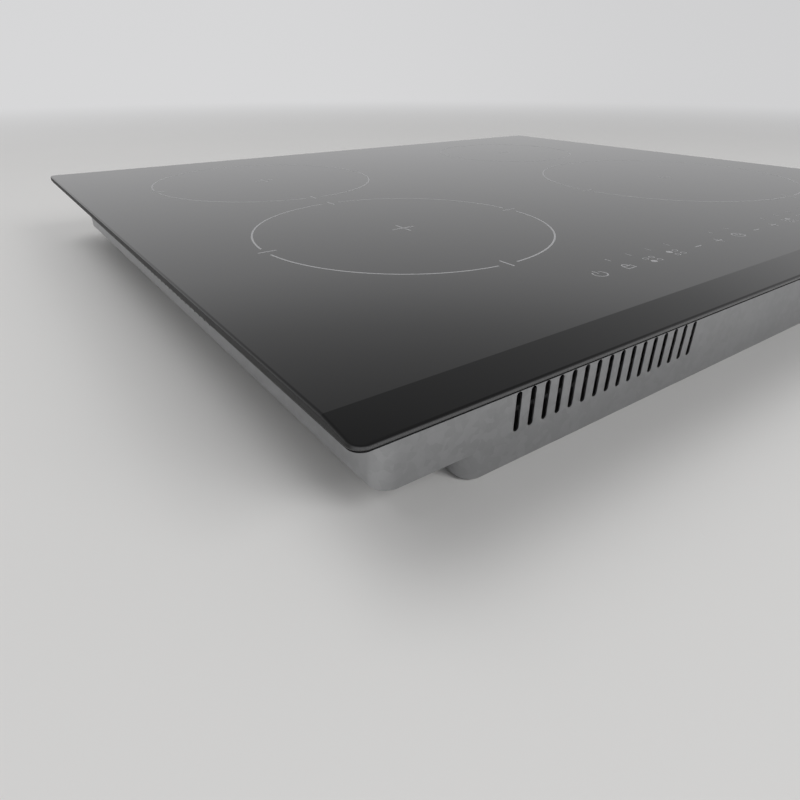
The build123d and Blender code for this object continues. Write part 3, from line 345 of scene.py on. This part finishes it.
def sintered(name, color):
    s = Shade(name, color, roughness=0.55, ior=1.9)
    speck = s.noise(1300, 4, 0.65)
    s.color(s.blend(speck, mul(color, 0.6), mul(color, 1.7)))
    s.roughness(s.remap(speck, 0.3, 0.7, 0.42, 0.66))
    s.bump(speck, 0.00006, 0.6)
    return s.mat


def foil_label():
    """Blank metallised film label."""
    color = (0.62, 0.62, 0.63)
    s = Shade("blank_foil_label", color, roughness=0.3, metallic=0.8, coat=0.5, coat_roughness=0.08)
    brushed = s.noise(1900, 2, 0.5, s.stretch(0.03, 1, 1))
    s.color(s.blend(brushed, mul(color, 0.88), mul(color, 1.08)))
    s.roughness(s.remap(brushed, 0.3, 0.7, 0.24, 0.36))
    s.bump(s.noise(300, 2, 0.4), 0.00003, 0.4)
    return s.mat


HORIZON_LEVEL = 0.68
SIDE_AXIS = (-0.6, 0.8, 0.0)  # the light is full along it, and SIDE_LEVEL away from it
SIDE_LEVEL = 0.93
SIDE_FADE = (-0.25, 0.55)


def floor_material():
    """Pale floor that runs out into the light of the studio walls, so no horizon shows."""
    color = (0.74, 0.735, 0.725)
    s = Shade("studio_floor", color, roughness=0.62, ior=1.4)
    s.set("Specular IOR Level", 0.2)
    s.color(s.blend(s.noise(4, 3, 0.5), mul(color, 0.985), mul(color, 1.015)))
    length = s.node("ShaderNodeVectorMath", operation="LENGTH")
    s.join(s.coord, length.inputs[0])
    unit = s.node("ShaderNodeVectorMath", operation="NORMALIZE")
    s.join(s.coord, unit.inputs[0])
    turn = s.node("ShaderNodeVectorMath", operation="DOT_PRODUCT")
    s.join(unit.outputs["Vector"], turn.inputs[0])
    turn.inputs[1].default_value = SIDE_AXIS
    glow = s.node("ShaderNodeEmission")
    glow.inputs["Color"].default_value = (HORIZON_LEVEL, HORIZON_LEVEL, HORIZON_LEVEL * 1.01, 1.0)
    s.join(s.remap(turn.outputs["Value"], *SIDE_FADE, SIDE_LEVEL, 1.0), glow.inputs["Strength"])
    mixer = s.node("ShaderNodeMixShader")
    s.join(s.remap(length.outputs["Value"], 0.7, 2.6, 0.0, 1.0), mixer.inputs[0])
    s.tree.links.new(s.bsdf.outputs[0], mixer.inputs[1])
    s.tree.links.new(glow.outputs[0], mixer.inputs[2])
    s.tree.links.new(mixer.outputs[0], s.tree.nodes["Material Output"].inputs["Surface"])
    return s.mat


# ---------------------------------------------------------------- materials on the CAD nodes

galvanised_mat = galvanised()
zinc = plated("zinc_plated_steel", (0.60, 0.60, 0.57), 0.32)
black_paint = powder_coat("black_satin_paint", (0.018, 0.018, 0.019))
black_plastic = moulded("black_moulded_plastic", (0.022, 0.022, 0.023))
grey_plastic = moulded("grey_moulded_plastic", (0.24, 0.245, 0.25), 0.48, 1500, 0.00005)
white_plastic = moulded("white_moulded_plastic", (0.68, 0.68, 0.65), 0.4)
board = laminate()
copper = stranded("copper_strands", (0.62, 0.27, 0.11))

LOOKS = {
    "glass_plate": ceramic_glass(),
    "worktop_seal": foam(),
    "glass_bond": rubber("silicone_bead", (0.02, 0.02, 0.021)),
    "support_frame": galvanised("galvanised_frame", 0.44),
    "base_pan": galvanised_mat,
    "side_screws": zinc,
    "clamp_screws": zinc,
    "clamp_nuts": zinc,
    "cover_hinge_pin": zinc,
    "terminal_box": grey_plastic,
    "terminal_cover": grey_plastic,
    "terminal_block": white_plastic,
    "terminal_contacts": plated("plated_brass", (0.72, 0.58, 0.33), 0.28),
    "cable_inlet": rubber("inlet_rubber", (0.028, 0.028, 0.029)),
    "fan_motors": black_plastic,
    "board_trays": moulded("tray_plastic", (0.16, 0.165, 0.17)),
    "power_boards": board,
    "filter_board": board,
    "control_board": board,
    "power_switches": moulded("chip_epoxy", (0.014, 0.014, 0.015), 0.4, 2600, 0.00002),
    "film_capacitors": moulded("capacitor_case", (0.45, 0.07, 0.03), 0.3, 700, 0.00004, 0.3),
    "choke_core": sintered("green_grey_core", (0.05, 0.09, 0.07)),
    "choke_winding": stranded("enamelled_copper", (0.66, 0.25, 0.09)),
    "spring_posts": black_plastic,
    "control_carrier": black_plastic,
    "digit_displays": moulded("tinted_lens", (0.06, 0.006, 0.006), 0.15, 300, 0.00001, 0.5),
    "touch_pads": moulded("pad_foam", (0.5, 0.5, 0.48), 0.7),
    "lead_terminals": plated("tinned_terminal", (0.66, 0.64, 0.6), 0.3),
    "wiring_harness": rubber("wire_sleeve", (0.05, 0.055, 0.075)),
}
GROUPS = (
    ("clamp_", black_paint),
    ("carrier_plate", rolled_aluminium("rolled_aluminium", (0.74, 0.745, 0.75), "Y")),
    ("carrier_springs", plated("spring_wire", (0.5, 0.5, 0.5), 0.25)),
    ("coil_former", moulded("glass_filled_plastic", (0.60, 0.57, 0.50), 0.55)),
    ("coil_winding", copper),
    ("coil_leads", copper),
    ("ferrite_bars", sintered("ferrite", (0.03, 0.03, 0.033))),
    ("insulation_mats", felt()),
    ("temperature_sensors", rubber("sensor_silicone", (0.30, 0.05, 0.025))),
    ("fan_housing", black_plastic),
    ("fan_rotor", moulded("fan_wheel_plastic", (0.03, 0.03, 0.032), 0.42)),
    ("heat_sink", rolled_aluminium("extruded_aluminium", (0.68, 0.685, 0.69), "Y")),
)

for name, node in NODES.items():
    look = LOOKS.get(name) or next(mat for start, mat in GROUPS if name.startswith(start))
    node.data.materials.clear()
    node.data.materials.append(look)


# ---------------------------------------------------------------- print on the glass

PRINT_LIFT = 0.00002
PRINT_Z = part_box("glass_plate")[1][2] + PRINT_LIFT
INK = printed_ink()
END_STEPS, DOT_STEPS = 6, 24  # steps round a bar's end and round a dot


def arc_points(centre, radius, start, end, steps):
    """Points along an arc, its angles in degrees."""
    turns = [radians(start + (end - start) * i / steps) for i in range(steps + 1)]
    return [(centre[0] + radius * cos(a), centre[1] + radius * sin(a)) for a in turns]


def print_verts(mesh, points):
    return [mesh.verts.new((x / MM, y / MM, PRINT_Z)) for x, y in points]


def add_arc(mesh, centre, radius, width, start=0.0, end=360.0):
    """Flat band along an arc, in millimetres."""
    steps = max(6, int(abs(end - start) / 360 * max(32, radius * 2.2)))
    outer = print_verts(mesh, arc_points(centre, radius + width / 2, start, end, steps))
    inner = print_verts(mesh, arc_points(centre, radius - width / 2, start, end, steps))
    for i in range(steps):
        mesh.faces.new((outer[i], outer[i + 1], inner[i + 1], inner[i]))


def add_bar(mesh, centre, length, width, turn):
    """Flat bar with round ends, in millimetres."""
    a = radians(turn)
    half = (length - width) / 2
    points = []
    for sign in (1, -1):
        tip = (centre[0] + sign * half * cos(a), centre[1] + sign * half * sin(a))
        first = turn - 90 if sign == 1 else turn + 90
        points += arc_points(tip, width / 2, first, first + 180, END_STEPS)
    mesh.faces.new(print_verts(mesh, points))


def add_dot(mesh, centre, radius):
    points = arc_points(centre, radius, 0, 360, DOT_STEPS)[:-1]
    mesh.faces.new(print_verts(mesh, points))


def new_object(name, data):
    thing = bpy.data.objects.new(name, data)
    bpy.context.scene.collection.objects.link(thing)
    return thing


def mesh_object(mesh, name, look):
    """Object of a finished bmesh, which is freed, in one material."""
    data = bpy.data.meshes.new(name)
    mesh.to_mesh(data)
    mesh.free()
    data.materials.append(look)
    return new_object(name, data)


def finish_print(mesh, name):
    """Makes a print's faces look up, and fixes it to the base."""
    bmesh.ops.recalc_face_normals(mesh, faces=mesh.faces)
    for face in mesh.faces:
        if face.normal.z < 0:
            face.normal_flip()
    piece = mesh_object(mesh, name, INK)
    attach(piece, "base")


ZONES = ("front_left", "rear_left", "front_right", "rear_right")
ZONE_MARGIN = 2.0  # a zone's ring is this much outside its coil former
LINE, CROSS, TICK = 1.1, 16.0, 11.0  # a line's width, and the lengths of a cross and a tick
TICK_INSET, CROSS_GAP = 1.0, 2.4  # a tick's middle from the ring; between the cross's upright arms
RING_GAP = 4.0  # half of each gap in a ring, in degrees


def middle(node):
    """Centre of a node in plan and half its width, in millimetres."""
    low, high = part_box(node)
    return ((low[0] + high[0]) / 2 * MM, (low[1] + high[1]) / 2 * MM), (high[0] - low[0]) / 2 * MM


def add_zone_mark(name):
    """Thin ring with four gaps and ticks, and a cross at its centre."""
    centre, half = middle("coil_former_" + name)
    radius = half + ZONE_MARGIN
    mesh = bmesh.new()
    for turn in (0, 90, 180, 270):
        add_arc(mesh, centre, radius, LINE, turn + RING_GAP, turn + 90 - RING_GAP)
        out = (cos(radians(turn)), sin(radians(turn)))
        tick = [c + (radius - TICK_INSET) * o for c, o in zip(centre, out)]
        add_bar(mesh, tick, TICK, LINE, turn)
    add_bar(mesh, centre, CROSS, LINE, 0)
    arm = (CROSS - CROSS_GAP) / 2
    for side in (-1, 1):
        add_bar(mesh, (centre[0], centre[1] + side * (CROSS - arm) / 2), arm, LINE, 90)
    finish_print(mesh, "zone_mark_" + name)


# Each key symbol is drawn about its key's centre, in millimetres.
STROKE, BOLD_STROKE = 0.7, 0.8
SYMBOL_R, SYMBOL_WIDTH = 3.6, 6.4


def power_mark(mesh, x, y):
    add_arc(mesh, (x, y), SYMBOL_R, STROKE, 125, 415)
    add_bar(mesh, (x, y + 2.9), 4.2, STROKE, 90)


def lock_mark(mesh, x, y):
    for dy in (-2.9, 0.5):
        add_bar(mesh, (x, y + dy), SYMBOL_WIDTH, STROKE, 0)
    for dx in (-2.85, 2.85):
        add_bar(mesh, (x + dx, y - 1.2), 2.6, STROKE, 90)
    add_arc(mesh, (x, y + 1.1), 1.9, STROKE, 0, 180)


def minus_mark(mesh, x, y):
    add_bar(mesh, (x, y), SYMBOL_WIDTH, BOLD_STROKE, 0)


def plus_mark(mesh, x, y):
    add_bar(mesh, (x, y), SYMBOL_WIDTH, BOLD_STROKE, 0)
    for dy in (-1.9, 1.9):
        add_bar(mesh, (x, y + dy), 2.6, BOLD_STROKE, 90)


def timer_mark(mesh, x, y):
    add_arc(mesh, (x, y), SYMBOL_R, STROKE)
    add_bar(mesh, (x, y + 1.2), 2.6, STROKE, 90)
    add_bar(mesh, (x + 1.5, y - 0.4), 2.2, STROKE, 0)


def pause_mark(mesh, x, y):
    for dx in (-1.4, 1.4):
        add_bar(mesh, (x + dx, y), 6.0, 1.0, 90)


def boost_mark(mesh, x, y):
    for dy in (-2.2, 1.2):
        for side in (-1, 1):
            add_bar(mesh, (x + side * 1.4, y + dy), 4.4, STROKE, side * -48)


def zone_icon(column, row):
    """Four spots for the four zones, one of them filled."""
    def draw(mesh, x, y):
        for i in (-1, 1):
            for j in (-1, 1):
                spot = (x + i * 2.5, y + j * 2.5)
                if (i, j) == (column, row):
                    add_dot(mesh, spot, 1.7)
                else:
                    add_arc(mesh, spot, 1.4, 0.45)
    return draw


KEYS = (
    power_mark, lock_mark, zone_icon(-1, -1), zone_icon(-1, 1), minus_mark, plus_mark,
    timer_mark,
    minus_mark, plus_mark, zone_icon(1, 1), zone_icon(1, -1), boost_mark, pause_mark,
)
PAD_R = 4.5
DISPLAY_XS = (-96, -62, 0, 62, 96)
DISPLAY_SIDE = 8.5  # from a display's centre to each of its two bars
DISPLAY_BAR, DISPLAY_STROKE = 4.0, 0.5


def add_control_print():
    """A symbol over each touch pad, and a pair of short bars beside each digit display."""
    (middle_x, key_y), half = middle("touch_pads")
    pitch = 2 * (half - PAD_R) / (len(KEYS) - 1)
    mesh = bmesh.new()
    for i, draw in enumerate(KEYS):
        draw(mesh, middle_x + (i - (len(KEYS) - 1) / 2) * pitch, key_y)
    (_, display_y), _ = middle("digit_displays")
    for x in DISPLAY_XS:
        for side in (-DISPLAY_SIDE, DISPLAY_SIDE):
            add_bar(mesh, (x + side, display_y), DISPLAY_BAR, DISPLAY_STROKE, 90)
    finish_print(mesh, "control_print")


for name in ZONES:
    add_zone_mark(name)
add_control_print()


# ---------------------------------------------------------------- small pieces on the box

LABEL_X, LABEL_Z = -62.0, 27.0
LABEL_WIDTH, LABEL_HEIGHT, LABEL_CORNER_R = 54.0, 24.0, 1.5
LABEL_LIFT, LABEL_T = 0.02, 0.08  # clear of the wall, and its own thickness


def add_label():
    """Blank foil label with round corners, on the rear wall beside the mains inlet."""
    wall_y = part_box("base_pan")[1][1] * MM
    wide, high = LABEL_WIDTH / 2 - LABEL_CORNER_R, LABEL_HEIGHT / 2 - LABEL_CORNER_R
    outline = []
    for i, j, first in ((1, 1, 0), (-1, 1, 90), (-1, -1, 180), (1, -1, 270)):
        outline += arc_points((i * wide, j * high), LABEL_CORNER_R, first, first + 90, END_STEPS)
    mesh = bmesh.new()
    back, front = (
        [
            mesh.verts.new(((LABEL_X - x) / MM, (wall_y + out) / MM, (LABEL_Z + z) / MM))
            for x, z in outline
        ]
        for out in (LABEL_LIFT, LABEL_LIFT + LABEL_T)
    )
    for i in range(len(outline)):
        mesh.faces.new((back[i - 1], back[i], front[i], front[i - 1]))
    mesh.faces.new(front)
    mesh.faces.new(back[::-1])
    bmesh.ops.recalc_face_normals(mesh, faces=mesh.faces)
    piece = mesh_object(mesh, "blank_label", foil_label())
    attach(piece, "base")


add_label()


def add_shortening(node):
    """Copy of a node that is fixed to the base at its foot, shown in place of the node, which is
    hidden.
    """
    piece = new_object("soft_" + node, NODES[node].data.copy())
    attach(piece, "base")
    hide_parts(node)
    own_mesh(piece)


for joint in frame["record"]["behaviour"]["joints"]:
    if joint["name"].startswith("carrier_lift_"):
        side = joint["name"].removeprefix("carrier_lift_")
        add_shortening("carrier_springs_" + side)
        add_shortening("coil_leads_" + side)


# ---------------------------------------------------------------- stage, light and camera

FLOOR_Z = -0.0002  # a hair below the object
FLOOR_RADII = (0.6, 1.2, 2.5, 5.0, 10.0, 20.0)
FLOOR_STEPS = 64


def make_floor():
    """Large round floor."""
    turns = [2 * pi * i / FLOOR_STEPS for i in range(FLOOR_STEPS)]
    mesh = bmesh.new()
    loops = [
        [mesh.verts.new((radius * cos(a), radius * sin(a), FLOOR_Z)) for a in turns]
        for radius in FLOOR_RADII
    ]
    mesh.faces.new(loops[0])
    for inner, outer in zip(loops, loops[1:]):
        for i in range(FLOOR_STEPS):
            mesh.faces.new((inner[i - 1], inner[i], outer[i], outer[i - 1]))
    bmesh.ops.recalc_face_normals(mesh, faces=mesh.faces)
    mesh_object(mesh, "studio_floor", floor_material())


SKY = (  # (height on the unit sphere, brightness)
    (0.0, HORIZON_LEVEL), (0.30, 0.66), (0.335, 0.615), (0.36, 0.565), (0.39, 0.508),
    (0.434, 0.455), (0.506, 0.39), (0.578, 0.335), (0.647, 0.295), (0.70, 0.245), (0.80, 0.24),
    (1.0, 0.34),
)


def make_world():
    """Soft studio: bright low walls, a dimmer band above them, and a dimmer right-hand side."""
    world = bpy.data.worlds.new("studio")
    bpy.context.scene.world = world
    world.use_nodes = True
    tree = world.node_tree
    background = tree.nodes["Background"]
    coord = tree.nodes.new("ShaderNodeTexCoord")
    split = tree.nodes.new("ShaderNodeSeparateXYZ")
    tree.links.new(coord.outputs["Generated"], split.inputs[0])
    ramp = tree.nodes.new("ShaderNodeValToRGB")
    ramp.color_ramp.interpolation = "LINEAR"
    for place, _ in SKY[1:-1]:
        ramp.color_ramp.elements.new(place)
    for element, (place, level) in zip(ramp.color_ramp.elements, SKY):
        element.position = place
        element.color = (level, level, level * 1.01, 1.0)
    tree.links.new(split.outputs["Z"], ramp.inputs["Fac"])
    turn = tree.nodes.new("ShaderNodeVectorMath")
    turn.operation = "DOT_PRODUCT"
    tree.links.new(coord.outputs["Generated"], turn.inputs[0])
    turn.inputs[1].default_value = SIDE_AXIS
    side = tree.nodes.new("ShaderNodeMapRange")
    side.interpolation_type = "SMOOTHSTEP"
    tree.links.new(turn.outputs["Value"], side.inputs["Value"])
    side.inputs["From Min"].default_value, side.inputs["From Max"].default_value = SIDE_FADE
    side.inputs["To Min"].default_value = SIDE_LEVEL
    tree.links.new(side.outputs["Result"], background.inputs["Strength"])
    tree.links.new(ramp.outputs["Color"], background.inputs["Color"])


def add_softbox(name, place, aim, size, power):
    """Area light of a width and a height, turned to a point."""
    light = bpy.data.lights.new(name, "AREA")
    light.shape = "RECTANGLE"
    light.size, light.size_y = size
    light.energy = power
    lamp = new_object(name, light)
    lamp.location = place
    lamp.rotation_euler = (Vector(aim) - Vector(place)).to_track_quat("-Z", "Y").to_euler()
    lamp.visible_glossy = False  # the glass would show its square outline


FOCAL_RATIO = 0.72472  # focal length over the image's width
CAMERA_SHIFT = (-0.00125, -0.00375)  # right and up, in shares of the image's width
CAMERA_PITCH, CAMERA_HEADING = 0.520085, 0.619911  # down, and right of +Y, in radians
CAMERA_OFFSET = (-0.0628178, -0.1092239, 0.0901526)  # from the plate's front left lower corner


def make_camera():
    """A view from low over the front left corner of the plate."""
    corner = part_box("glass_plate")[0]
    data = bpy.data.cameras.new("camera")
    data.sensor_width = 36.0
    data.lens = FOCAL_RATIO * data.sensor_width
    data.shift_x, data.shift_y = CAMERA_SHIFT
    data.clip_start, data.clip_end = 0.005, 60
    camera = new_object("camera", data)
    camera.location = tuple(c + o for c, o in zip(corner, CAMERA_OFFSET))
    camera.rotation_euler = (pi / 2 - CAMERA_PITCH, 0.0, -CAMERA_HEADING)
    bpy.context.scene.camera = camera


make_floor()
make_world()
add_softbox("key_softbox", (0.55, -2.1, 1.35), (-0.2, -0.2, 0.0), (1.2, 1.2), power=26)
add_softbox("top_softbox", (-0.9, 0.7, 2.5), (0.0, 0.0, 0.0), (2.2, 2.2), power=30)
make_camera()
bpy.context.scene.view_settings.view_transform = "Standard"
bpy.context.scene.view_settings.look = "None"
